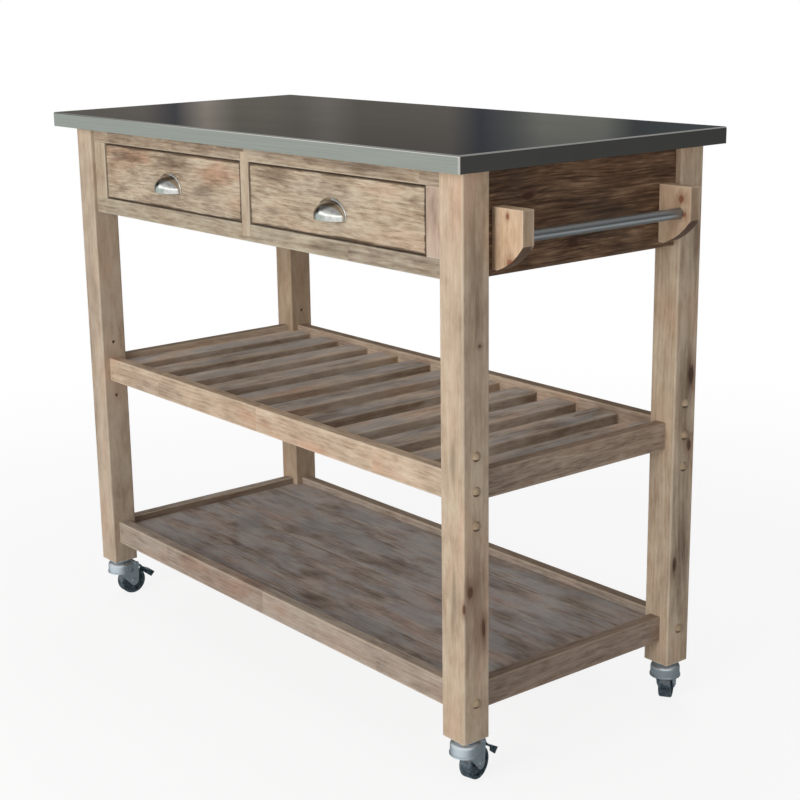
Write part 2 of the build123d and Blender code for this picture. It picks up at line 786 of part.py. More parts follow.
with BuildPart() as shelf_bolts:
    for side_x, side_y in corners.values():
        for height in (low_bolt_height, mid_bolt_height):
            head_seat = outer_leg_face(side_x, side_y, height).offset(-counterbore_depth)
            with BuildSketch(head_seat):
                RegularPolygon(bolt_head_diameter / 2, 6)
            extrude(amount=bolt_head_height)
            with BuildSketch(head_seat):
                Circle(bolt_diameter / 2)
            extrude(amount=counterbore_depth - leg_size - bolt_grip)
save(shelf_bolts.part, "shelf_bolts")


# ================================================================ caster stems and sockets
stem_radius = stem_diameter / 2
socket_inner = stem_radius + running_play
socket_outer = socket_inner + socket_wall
stem_top = caster_height + stem_length

with BuildPart() as caster_sockets:
    for side_x, side_y in corners.values():
        with BuildSketch(Plane.XY.offset(caster_height)):
            with Locations((side_x * leg_x, side_y * leg_y)):
                Circle(socket_outer)
        extrude(amount=stem_length)
        with BuildSketch(Plane.XY.offset(caster_height)):
            with Locations((side_x * leg_x, side_y * leg_y)):
                Circle(socket_flange_diameter / 2)
        extrude(amount=socket_flange_thickness)
        with BuildSketch(Plane.XY.offset(caster_height)):
            with Locations((side_x * leg_x, side_y * leg_y)):
                Circle(socket_inner)
        extrude(amount=stem_length, mode=Mode.SUBTRACT)
save(caster_sockets.part, "caster_sockets")

with BuildPart() as caster_stems:
    rivet_top = cup_underside - fork_play
    rivet_bottom = rivet_top - stem_rivet_height
    rivet_radius = stem_rivet_diameter / 2
    race_radius = race_diameter / 2
    race_low = race_radius - race_easing
    race_shoulder = race_bottom + race_easing
    tip_radius = stem_radius - stem_tip
    tip_top = stem_top + stem_tip
    for side_x, side_y in corners.values():
        pivot = (side_x * leg_x, side_y * leg_y, 0)
        with BuildSketch(Plane(origin=pivot, x_dir=(1, 0, 0), z_dir=(0, -1, 0))):
            with BuildLine():
                Polyline((0, rivet_bottom), (rivet_radius, rivet_bottom), (rivet_radius, rivet_top))
                Polyline((rivet_radius, rivet_top), (stem_radius, rivet_top), (stem_radius, race_bottom))
                Polyline((stem_radius, race_bottom), (race_low, race_bottom), (race_radius, race_shoulder))
                Polyline((race_radius, race_shoulder), (race_radius, caster_height))
                Polyline((race_radius, caster_height), (stem_radius, caster_height))
                Polyline((stem_radius, caster_height), (stem_radius, stem_top), (tip_radius, tip_top))
                Polyline((tip_radius, tip_top), (0, tip_top), (0, rivet_bottom))
            make_face()
        revolve(axis=Axis(pivot, (0, 0, 1)))
save(caster_stems.part, "caster_stems")


# ================================================================ swivelling forks, wheels and brakes
def heading_planes(corner):
    """The caster's upright plane through its wheel, and the level plane through its axle."""
    side_x, side_y = corners[corner]
    turn = radians(caster_heading[corner])
    ahead = Vector(cos(turn), sin(turn), 0)
    stem = Vector(side_x * leg_x, side_y * leg_y, 0)
    upright = Plane(origin=stem, x_dir=ahead, z_dir=(sin(turn), -cos(turn), 0))
    axle_center = stem + ahead * wheel_trail + Vector(0, 0, wheel_radius)
    axle_level = Plane(origin=axle_center, x_dir=ahead, z_dir=(0, 0, 1))
    return upright, axle_level


def cup_hollow(level):
    """The space inside a fork's cup, one sheet thickness in from its outside."""
    with BuildPart() as hollow:
        with BuildSketch(level.offset(cup_bottom)):
            Circle(cup_diameter / 2 - fork_gauge)
        extrude(amount=cup_underside - cup_bottom)
        fillet(hollow.edges().filter_by(GeomType.CIRCLE).group_by(Axis.Z)[-1], cup_shoulder - fork_gauge)
    return hollow.part


def make_fork(corner):
    """The pressed fork: a round cup under the leg, two cheeks, the axle and the brake's pin."""
    upright, _ = heading_planes(corner)
    level = Plane(origin=upright.origin, x_dir=upright.x_dir, z_dir=(0, 0, 1))
    axle_spot = (wheel_trail, wheel_radius)
    pin_spot = (brake_pivot_reach, brake_pivot_height)
    cup_radius = cup_diameter / 2
    axle_head = fork_half_width + rivet_play
    with BuildPart() as fork:
        with BuildSketch(level.offset(cup_bottom)):
            Circle(cup_radius)
        extrude(amount=cup_height)
        fillet(fork.edges().filter_by(GeomType.CIRCLE).group_by(Axis.Z)[-1], cup_shoulder)
        with BuildSketch(level.offset(cup_bottom)):
            Circle(cup_radius + cup_rim)
        extrude(amount=cup_rim_height)
        add(cup_hollow(level), mode=Mode.SUBTRACT)
        for side in (-1, 1):
            with BuildSketch(upright.offset(side * fork_half_gap)):
                with Locations(axle_spot):
                    Circle(cheek_eye_radius)
                with Locations(pin_spot):
                    Circle(brake_pivot_boss)
                with Locations((0, (cup_bottom + cup_underside) / 2)):
                    Rectangle(cup_radius, cup_underside - cup_bottom)
                make_hull()
            extrude(amount=side * fork_gauge)
        with BuildSketch(upright):
            with Locations((cup_diameter, cup_underside / 2)):
                Rectangle(2 * cup_diameter, cup_underside)
        extrude(amount=fork_half_gap, both=True, mode=Mode.SUBTRACT)
        with BuildSketch(level.offset(cup_underside)):
            Circle(stem_radius + running_play)
        extrude(amount=fork_gauge, mode=Mode.SUBTRACT)
        with BuildSketch(upright):
            with Locations(axle_spot):
                Circle(axle_diameter / 2 + running_play)
            with Locations(pin_spot):
                Circle(brake_pin_diameter / 2 + running_play)
        extrude(amount=2 * fork_half_width, both=True, mode=Mode.SUBTRACT)
        with BuildSketch(upright):
            with Locations(axle_spot):
                Circle(axle_diameter / 2)
            with Locations(pin_spot):
                Circle(brake_pin_diameter / 2)
        extrude(amount=axle_head, both=True)
        for face in (upright.offset(axle_head), upright.offset(-axle_head - rivet_head_height)):
            with BuildSketch(face):
                with Locations(axle_spot):
                    Circle(rivet_head_diameter / 2)
                with Locations(pin_spot):
                    Circle(brake_pin_head / 2)
            extrude(amount=rivet_head_height)
    return fork.part


def make_wheel(corner):
    """A wheel with a rounded tread, a recessed web on both sides and a hub bored for the axle."""
    _, axle_level = heading_planes(corner)
    half_tread = wheel_width / 2
    half_hub = half_tread + hub_overhang
    half_web = half_tread - web_recess
    bore_radius = axle_diameter / 2 + running_play
    with BuildPart() as wheel:
        with BuildSketch(axle_level):
            with Locations(((bore_radius + hub_diameter / 2) / 2, 0)):
                Rectangle(hub_diameter / 2 - bore_radius, 2 * half_hub)
            with Locations(((bore_radius + rim_diameter / 2) / 2, 0)):
                Rectangle(rim_diameter / 2 - bore_radius, 2 * half_web)
            with Locations(((rim_diameter / 2 + wheel_radius) / 2, 0)):
                Rectangle(wheel_radius - rim_diameter / 2, wheel_width)
        revolve(axis=Axis(axle_level.origin, axle_level.y_dir))
        rims = wheel.edges().filter_by(GeomType.CIRCLE).sort_by(SortBy.RADIUS)[-2:]
        fillet(rims, tread_round)
    return wheel.part


def make_brake(corner):
    """A flanged foot pedal on a pin through the fork. Pressed down, its arm bears on the tread."""
    upright, _ = heading_planes(corner)
    pivot = (brake_pivot_reach, brake_pivot_height)
    knee = (brake_knee_reach, brake_knee_height)
    elbow = (brake_elbow_reach, brake_elbow_height)
    tip = (brake_tip_reach, brake_tip_height)
    toe = (brake_tip_reach - brake_toe_setback, brake_tip_height - brake_flange_depth)
    heel = (brake_elbow_reach, brake_elbow_height - brake_flange_depth)
    with BuildPart() as brake:
        with BuildSketch(upright):
            with BuildLine():
                Polyline(pivot, knee, elbow)
            trace(line_width=brake_gauge)
            with Locations(pivot):
                Circle(brake_eye_radius)
        extrude(amount=brake_width / 2, both=True)
        with BuildSketch(upright):
            with BuildLine():
                Polyline(elbow, tip)
            trace(line_width=brake_gauge)
        extrude(amount=brake_pan_width / 2, both=True)
        for side in (-1, 1):
            with BuildSketch(upright.offset(side * brake_pan_width / 2)):
                with BuildLine():
                    Polyline(elbow, tip, toe, heel, close=True)
                make_face()
            extrude(amount=-side * brake_gauge)
        with BuildSketch(upright):
            with Locations(pivot):
                Circle(brake_pin_diameter / 2 + running_play)
        extrude(amount=brake_width, both=True, mode=Mode.SUBTRACT)
    return brake.part


for corner in corners:
    save(make_fork(corner), f"caster_{corner}_fork")
    save(make_wheel(corner), f"caster_{corner}_wheel")
    save(make_brake(corner), f"caster_{corner}_brake")
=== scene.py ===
"""Looks for the kitchen island cart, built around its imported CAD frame. Metres, +Z up."""
import math

import bpy
from mathutils import Matrix, Vector


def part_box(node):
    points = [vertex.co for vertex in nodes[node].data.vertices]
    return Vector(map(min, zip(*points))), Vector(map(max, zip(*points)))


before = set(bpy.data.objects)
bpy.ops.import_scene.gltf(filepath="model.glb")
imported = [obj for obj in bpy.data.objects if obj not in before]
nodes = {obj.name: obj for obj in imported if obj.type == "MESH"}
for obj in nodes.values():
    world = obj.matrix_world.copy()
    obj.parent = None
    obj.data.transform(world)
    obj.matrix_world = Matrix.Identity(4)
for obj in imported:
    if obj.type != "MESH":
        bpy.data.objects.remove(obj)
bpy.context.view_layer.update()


# ---------------------------------------------------------------- node trees
def rgb(red, green, blue):
    """A colour written as 0 to 255 display values, as the linear values that nodes take."""
    linear = []
    for value in (red, green, blue):
        share = value / 255
        linear.append(share / 12.92 if share <= 0.04045 else ((share + 0.055) / 1.055) ** 2.4)
    return (*linear, 1.0)


class Tree:
    """A material or world tree with short calls for its nodes."""

    def __init__(self, owner):
        owner.use_nodes = True
        self.nodes = owner.node_tree.nodes
        self.links = owner.node_tree.links
        self.nodes.clear()

    def add(self, kind, inputs=None, **settings):
        """A node with its settings and inputs given. Inputs are set by name or by number."""
        node = self.nodes.new(kind)
        for name, value in settings.items():
            setattr(node, name, value)
        for key, value in (inputs or {}).items():
            self.feed(node.inputs[key], value)
        return node

    def feed(self, socket, value):
        if isinstance(value, bpy.types.NodeSocket):
            self.links.new(value, socket)
        else:
            socket.default_value = value

    def math(self, operation, *values):
        node = self.add("ShaderNodeMath", operation=operation)
        for socket, value in zip(node.inputs, values):
            self.feed(socket, value)
        return node.outputs[0]

    def vector(self, operation, *values):
        node = self.add("ShaderNodeVectorMath", operation=operation)
        for socket, value in zip(node.inputs, values):
            self.feed(socket, value)
        return node.outputs[0]

    def scaled(self, vector, factor):
        node = self.add("ShaderNodeVectorMath", {0: vector}, operation="SCALE")
        self.feed(node.inputs["Scale"], factor)
        return node.outputs[0]

    def split(self, vector):
        return self.add("ShaderNodeSeparateXYZ", {0: vector}).outputs

    def join(self, x, y, z):
        return self.add("ShaderNodeCombineXYZ", {0: x, 1: y, 2: z}).outputs[0]

    def noise(self, vector, stretch, detail, roughness, output=0):
        """Noise of a given detail, stretched to a scale per metre along each axis."""
        stretched = self.vector("MULTIPLY", vector, stretch)
        inputs = {"Vector": stretched, "Scale": 1.0, "Detail": detail, "Roughness": roughness}
        return self.add("ShaderNodeTexNoise", inputs).outputs[output]

    def span(self, value, low, high, to_low=0.0, to_high=1.0):
        """The value's smooth rise from to_low at low to to_high at high."""
        inputs = {0: value, 1: low, 2: high, 3: to_low, 4: to_high}
        return self.add("ShaderNodeMapRange", inputs, interpolation_type="SMOOTHSTEP").outputs[0]

    def ramp(self, factor, stops):
        node = self.add("ShaderNodeValToRGB", {0: factor})
        elements = node.color_ramp.elements
        while len(elements) < len(stops):
            elements.new(0.5)
        for element, (place, color) in zip(elements, stops):
            element.position = place
            element.color = color
        return node.outputs[0]

    def share(self, value, part):
        """A part of a value."""
        return self.math("MULTIPLY", value, part)

    def centred(self, field, reach):
        """A noise field with its middle moved to zero, times a reach."""
        return self.share(self.math("SUBTRACT", field, 0.5), reach)

    def mix(self, factor, first, second, blend="MIX"):
        node = self.add("ShaderNodeMix", data_type="RGBA", blend_type=blend)
        self.feed(node.inputs[0], factor)
        self.feed(node.inputs[6], first)
        self.feed(node.inputs[7], second)
        return node.outputs[2]

    def bump(self, height, distance, strength):
        inputs = {"Height": height, "Distance": distance, "Strength": strength}
        return self.add("ShaderNodeBump", inputs).outputs[0]

    def finish(self, inputs):
        shader = self.add("ShaderNodeBsdfPrincipled", inputs)
        output = self.add("ShaderNodeOutputMaterial")
        self.links.new(shader.outputs[0], output.inputs[0])


def dress(node, material):
    """Give a CAD node's material slots to one material."""
    mesh = nodes[node].data
    mesh.materials.clear()
    mesh.materials.append(material)


# ---------------------------------------------------------------- wood
PALETTES = {
    "leg": (rgb(146, 118, 94), rgb(190, 164, 138), rgb(206, 183, 157), rgb(220, 201, 177)),
    "rail": (rgb(124, 99, 79), rgb(176, 152, 128), rgb(196, 174, 149), rgb(214, 196, 172)),
    "drawer": (rgb(126, 101, 81), rgb(178, 154, 130), rgb(200, 178, 153), rgb(218, 200, 176)),
    "apron": (rgb(58, 42, 32), rgb(94, 73, 57), rgb(118, 95, 76), rgb(158, 134, 110)),
    "bracket": (rgb(160, 124, 96), rgb(196, 167, 138), rgb(212, 187, 159), rgb(224, 205, 180)),
    "mid": (rgb(122, 100, 84), rgb(168, 148, 130), rgb(186, 167, 148), rgb(204, 187, 168)),
    "slat": (rgb(122, 102, 86), rgb(184, 169, 154), rgb(206, 193, 180), rgb(226, 216, 206)),
    "low": (rgb(118, 103, 92), rgb(158, 143, 130), rgb(174, 160, 147), rgb(192, 178, 164)),
    "plank": (rgb(90, 75, 66), rgb(147, 134, 126), rgb(172, 162, 155), rgb(196, 188, 182)),
    "inner": (rgb(158, 130, 100), rgb(198, 174, 142), rgb(214, 193, 163), rgb(226, 209, 182)),
}
STAIN = rgb(150, 104, 76)
GREY_WASH = rgb(176, 168, 158)
# A blue-grey sheen of sky light, painted on faces that look up.
PAINTED_SKY_SHEEN = rgb(172, 175, 180)
# Painted shade on the sides of boards.
PAINTED_SIDE_SHADE = rgb(104, 82, 60)
RED_HEART = rgb(132, 78, 56)
SMOKED_HEART = rgb(92, 60, 44)
# Dark stain along a board's edges, together with the painted shade of the gaps round it.
RIM_STAIN_AND_SHADE = rgb(62, 42, 30)
DARK_PATCH = rgb(96, 72, 56)
# The dark heart of knots, also used as the painted shade on faces that look down.
KNOT_HEART_AND_UNDERSIDE_SHADE = rgb(66, 42, 32)
PORE_DARK = rgb(92, 70, 55)
EDGE_WEAR = rgb(214, 197, 174)
GRAIN_AXES = {"X": (0, 1, 2), "Y": (1, 0, 2), "Z": (2, 0, 1)}

# How much streaks, fibres, mottle, clouds and rings show.
PLAIN = (0.4, 0.42, 0.42, 0.15, 0.07)
SOFT = (0.16, 0.17, 0.44, 0.36, 0.02)
STREAKED = (0.3, 0.28, 0.42, 0.36, 0.05)
DASHED = (0.34, 0.62, 0.4, 0.26, 0.05)
ROUGH_SAWN = (0.6, 0.7, 0.42, 0.5, 0.07)
PATCHY = (0.32, 0.26, 0.5, 0.9, 0.05)

# Noise scales per metre: along the grain, then across it.
SWAY_SCALE = (2.6, 9.0, 9.0)
STREAK_SCALE = (11.0, 130.0, 130.0)
FIBRE_SCALE = (38.0, 420.0, 420.0)
MOTTLE_SCALE = (19.0, 46.0, 46.0)
CLOUD_SCALE = (5.5, 17.0, 17.0)
PORE_SCALE = (70.0, 820.0, 820.0)
SHEEN_PATCH_SCALE = (8.0, 24.0, 24.0)

# Where a board's figure is cut from, by its seed, its number in a row and its stave, in metres.
SEED_STEP = 1.913
BOARD_STEP = 3.37
STAVE_STEP = 1.37
SIDEWAYS_STEP = 0.31
CLOUD_OFFSET = (7.7, 3.1, 5.9)

# Where the growth rings' middle lies beside a board, and how far that differs from board to board, in metres.
HEART_V = (0.026, 0.012)
HEART_W = (0.040, 0.014)
HEART_DRIFT = 0.02
RING_SPACING = 0.0062
SWAY_REACH = 0.028
OUTLINE_FRAY = 1.6
LATE_WOOD = ((0.2, 0.85), (1.0, 0.88))
KNOT_BULGE = 0.008
KNOT_EDGE = (1.1, 0.5)
KNOT_HALO = (3.0, 0.6)
KNOT_PUSH = (3.0, 0.4)
PATCH_EDGE = (1.5, 0.2)
PORE_EDGE = (0.6, 0.73)
TONE_STOPS = (0.26, 0.44, 0.55, 0.74)
STAIN_CLOUD = (0.5, 0.68)
WASH_CLOUD = (0.5, 0.34)
# The sky sheen's patches, and which faces take the painted sky sheen, the painted side shade and the painted shade
# underneath.
SHEEN_PATCH_EDGE = (0.4, 0.6)
FACES_UP = (0.6, 0.9)
FACES_ACROSS = (0.5, 0.8)
FACES_DOWN = (-0.25, -0.5)
PORE_SHARE = 0.2
PATCH_SHARE = 0.62
HALO_SHARE = 0.5
KNOT_SHARE = 0.85
FRAY_REACH = 0.008
WORN_EDGE = (0.0036, 0.0004)
RIM_EDGE = (0.0036, 0.0014)
BOARD_CONTRAST = 0.11
GRAIN_DEPTH = 0.0011
STREAK_ROUGHNESS = (0.25, 0.75, 0.82, 0.64)


def board_frame(tree, grain, box, cell):
    """The place on a board: its middle is at zero, and the first axis runs along the grain.

    Also gives each board of a row its own number, and how near the place is to an edge."""
    low, high = box
    xyz = list(tree.split(tree.add("ShaderNodeTexCoord").outputs["Object"]))
    half = [(high[i] - low[i]) / 2 for i in range(3)]
    local = [tree.math("SUBTRACT", xyz[i], (low[i] + high[i]) / 2) for i in range(3)]
    number = 0.0
    if cell:
        axis, pitch, width, start = cell
        number = tree.math("ROUND", tree.math("DIVIDE", tree.math("SUBTRACT", local[axis], start), pitch))
        board_middle = tree.math("ADD", tree.math("MULTIPLY", number, pitch), start)
        local[axis] = tree.math("SUBTRACT", local[axis], board_middle)
        half[axis] = width / 2
    depths = [tree.math("SUBTRACT", half[i], tree.math("ABSOLUTE", local[i])) for i in range(3)]
    least = tree.math("MINIMUM", depths[0], depths[1])
    most = tree.math("MAXIMUM", depths[0], depths[1])
    to_edge = tree.math("MAXIMUM", least, tree.math("MINIMUM", most, depths[2]))
    u, v, w = (local[i] for i in GRAIN_AXES[grain])
    return (u, v, w), number, to_edge


def spot(tree, u, v, w, place, size, fray):
    """How far a place is from a spot's middle, in the spot's own size, with a frayed outline."""
    parts = [tree.math("DIVIDE", tree.math("SUBTRACT", axis, at), reach)
             for axis, at, reach in zip((u, v, w), place, size)]
    squares = [tree.math("MULTIPLY", part, part) for part in parts]
    away = tree.math("SQRT", tree.math("ADD", tree.math("ADD", squares[0], squares[1]), squares[2]))
    return tree.math("ADD", away, fray)


def ring_radius(tree, v, w, sway, shift, seed):
    """How far a place is from the tree's heart, which lies beside the board."""
    _, sway_v, sway_w = tree.split(sway)[:3]
    heart_v = HEART_V[0] + HEART_V[1] * math.sin(seed * 2.3)
    heart_w = HEART_W[0] + HEART_W[1] * math.cos(seed * 1.7)
    ring_v = tree.math("ADD", tree.math("ADD", v, heart_v), sway_v)
    ring_v = tree.math("ADD", ring_v, tree.share(tree.math("SINE", shift), HEART_DRIFT))
    ring_w = tree.math("ADD", tree.math("ADD", w, heart_w), sway_w)
    squares = [tree.math("MULTIPLY", part, part) for part in (ring_v, ring_w)]
    return tree.math("SQRT", tree.math("ADD", *squares))


def wood(name, grain, box, palette, seed, knots=(), patches=(), cell=None, blocks=0.0, wear=0.4, wash=0.3,
         stain=0.35, relief=1.0, figure=PLAIN, tint=None, sky_sheen=0.0, side_shade=None, underside_shade=0.0, rim=0.0, heart=KNOT_HEART_AND_UNDERSIDE_SHADE,
         length=1.0):
    """Weathered, wire-brushed timber: soft growth rings, fibres, pores, knots, stains and a grey wash.

    Knots and patches are (place, size) from the board's middle, in metres: along the grain and
    then along the other two axes. Heart is the knots' colour. Blocks is the length of the staves
    a board is joined from. Figure is how much each kind of grain shows, and length draws it out.
    The sky_sheen share paints a blue-grey sheen of sky light on faces that look up. The side_shade is
    (axis, share): how much painted shade darkens the faces across that axis. The underside_shade share paints
    shade on faces that look down, and rim darkens the edges with dark stain and the painted shade of the gaps round
    them.
    Tint is a stain over everything."""
    tree = Tree(bpy.data.materials.new(name))
    (u, v, w), number, to_edge = board_frame(tree, grain, box, cell)
    shift = tree.math("ADD", tree.share(number, BOARD_STEP), seed * SEED_STEP)
    if blocks:
        stave = tree.math("FLOOR", tree.math("ADD", tree.math("DIVIDE", u, blocks), seed))
        shift = tree.math("ADD", shift, tree.share(stave, STAVE_STEP))
    place = tree.join(tree.math("ADD", u, shift), tree.math("ADD", v, tree.share(shift, SIDEWAYS_STEP)), w)

    swirl = tree.vector("SUBTRACT", tree.noise(place, SWAY_SCALE, 2.0, 0.5, 1), (0.5, 0.5, 0.5))
    sway = tree.scaled(swirl, SWAY_REACH)
    flow = tree.vector("ADD", place, tree.vector("MULTIPLY", sway, (0.0, 1.0, 1.0)))
    streak = tree.noise(flow, (STREAK_SCALE[0] / length, *STREAK_SCALE[1:]), 4.0, 0.6)
    fibre = tree.noise(flow, (FIBRE_SCALE[0] / length, *FIBRE_SCALE[1:]), 3.0, 0.6)
    mottle = tree.noise(place, MOTTLE_SCALE, 3.0, 0.6)
    cloud = tree.noise(tree.vector("ADD", place, CLOUD_OFFSET), CLOUD_SCALE, 3.0, 0.55)
    pores = tree.span(tree.noise(flow, PORE_SCALE, 1.0, 0.5), *PORE_EDGE)

    radius = ring_radius(tree, v, w, sway, shift, seed)
    fray = tree.centred(streak, OUTLINE_FRAY)
    knot = 0.0
    halo = 0.0
    for at, size in knots:
        away = spot(tree, u, v, w, at, size, fray)
        knot = tree.math("MAXIMUM", knot, tree.span(away, *KNOT_EDGE))
        halo = tree.math("MAXIMUM", halo, tree.span(away, *KNOT_HALO))
        radius = tree.math("ADD", radius, tree.share(tree.span(away, *KNOT_PUSH), KNOT_BULGE))
    shade = 0.0
    for at, size in patches:
        away = spot(tree, u, v, w, at, size, fray)
        shade = tree.math("MAXIMUM", shade, tree.span(away, *PATCH_EDGE))
    band = tree.math("FRACT", tree.math("DIVIDE", radius, RING_SPACING))
    late = tree.math("MULTIPLY", *(tree.span(band, *edge) for edge in LATE_WOOD))

    tone = 0.5
    for field, part in zip((streak, fibre, mottle, cloud), figure):
        tone = tree.math("ADD", tone, tree.centred(field, part))
    tone = tree.math("SUBTRACT", tone, tree.share(late, figure[4]))
    if cell or blocks:
        chance = tree.add("ShaderNodeTexWhiteNoise", {"W": shift}, noise_dimensions="1D").outputs[0]
        tone = tree.math("ADD", tone, tree.centred(chance, BOARD_CONTRAST))
    color = tree.ramp(tone, list(zip(TONE_STOPS, PALETTES[palette])))
    stained = tree.share(tree.span(cloud, *STAIN_CLOUD), stain)
    color = tree.mix(stained, color, tree.mix(0.6, color, STAIN, "OVERLAY"))
    washed = tree.share(tree.span(cloud, *WASH_CLOUD), wash)
    color = tree.mix(washed, color, tree.mix(0.45, color, GREY_WASH))
    if sky_sheen or side_shade or underside_shade:
        normal = tree.split(tree.add("ShaderNodeTexCoord").outputs["Normal"])
    # Painted light: a blue-grey sheen of sky light on faces that look up, in patches.
    if sky_sheen:
        upward = tree.share(tree.span(normal[2], *FACES_UP), sky_sheen)
        sheen_patches = tree.span(tree.noise(place, SHEEN_PATCH_SCALE, 3.0, 0.6), *SHEEN_PATCH_EDGE)
        color = tree.mix(tree.math("MULTIPLY", upward, sheen_patches), color, PAINTED_SKY_SHEEN)
    # Painted shade on the faces across the given axis.
    if side_shade:
        axis, part = side_shade
        sideways = tree.span(tree.math("ABSOLUTE", normal[axis]), *FACES_ACROSS)
        color = tree.mix(tree.share(sideways, part), color, PAINTED_SIDE_SHADE)
    # Painted shade on faces that look down.
    if underside_shade:
        downward = tree.span(normal[2], *FACES_DOWN)
        color = tree.mix(tree.share(downward, underside_shade), color, KNOT_HEART_AND_UNDERSIDE_SHADE)
    color = tree.mix(tree.share(pores, PORE_SHARE), color, PORE_DARK)
    frayed = tree.math("ADD", to_edge, tree.centred(streak, FRAY_REACH))
    color = tree.mix(tree.share(tree.span(frayed, *WORN_EDGE), wear), color, EDGE_WEAR)
    # Dark stain along the edges, together with the painted shade of the gaps round the board.
    if rim:
        color = tree.mix(tree.share(tree.span(frayed, *RIM_EDGE), rim), color, RIM_STAIN_AND_SHADE)
    # Dark blotches in the wood; on the back right leg one of them is a painted shadow of the towel bracket.
    if patches:
        color = tree.mix(tree.share(shade, PATCH_SHARE), color, tree.mix(0.75, color, DARK_PATCH, "MULTIPLY"))
    if knots:
        color = tree.mix(tree.share(halo, HALO_SHARE), color, tree.mix(0.8, color, STAIN, "MULTIPLY"))
        color = tree.mix(tree.share(knot, KNOT_SHARE), color, heart)
    if tint:
        color = tree.mix(1.0, color, tint, "MULTIPLY")

    height = tree.math("ADD", tree.share(streak, 0.5), tree.share(fibre, 0.4))
    height = tree.math("ADD", height, tree.share(late, 0.12))
    height = tree.math("SUBTRACT", height, tree.share(pores, 0.25))
    rough = tree.span(streak, *STREAK_ROUGHNESS)
    grain_bump = tree.bump(height, GRAIN_DEPTH * relief, 0.5)
    tree.finish({"Base Color": color, "Roughness": rough, "Specular IOR Level": 0.25, "Normal": grain_bump})
    return bpy.data.materials[name]


